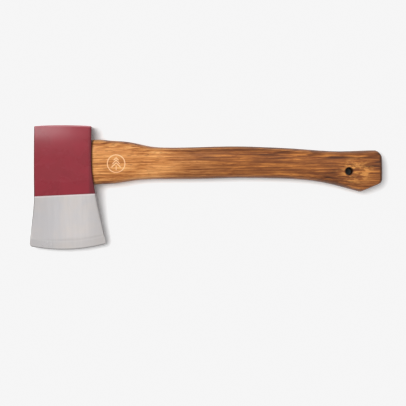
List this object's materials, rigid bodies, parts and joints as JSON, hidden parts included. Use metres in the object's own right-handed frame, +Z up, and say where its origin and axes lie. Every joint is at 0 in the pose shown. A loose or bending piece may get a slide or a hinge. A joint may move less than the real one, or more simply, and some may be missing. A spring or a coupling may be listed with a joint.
{
  "type": "carving hatchet",
  "caption": "Short single-bit hatchet: forged wedge-shaped head with a painted body and a bare ground bit, on a curved wooden handle with a hang hole.",
  "frame": {"origin": "on the flat cheek that the head lies on, straight below the centre of the eye", "axes": "+X from the eye along the handle to the butt, +Y towards the poll so that the cutting edge faces -Y, +Z up from the surface that the hatchet lies on"},
  "size_m": [0.3549, 0.1253, 0.0259],
  "materials": {
    "bare_steel": "ground satin, oiled",
    "red_enamel": "semi-gloss dark red enamel",
    "handle_wood": "thin clear varnish over open-pored straight-grained hardwood",
    "wedge_wood": "bare",
    "wedge_steel": "dull, as pressed"
  },
  "bodies": {
    "root": {"head_forging": "bare_steel", "head_paint": "red_enamel", "handle": "handle_wood", "kerf_wedge": "wedge_wood", "cross_wedge_1": "wedge_steel", "cross_wedge_2": "wedge_steel"}
  },
  "joints": []
}
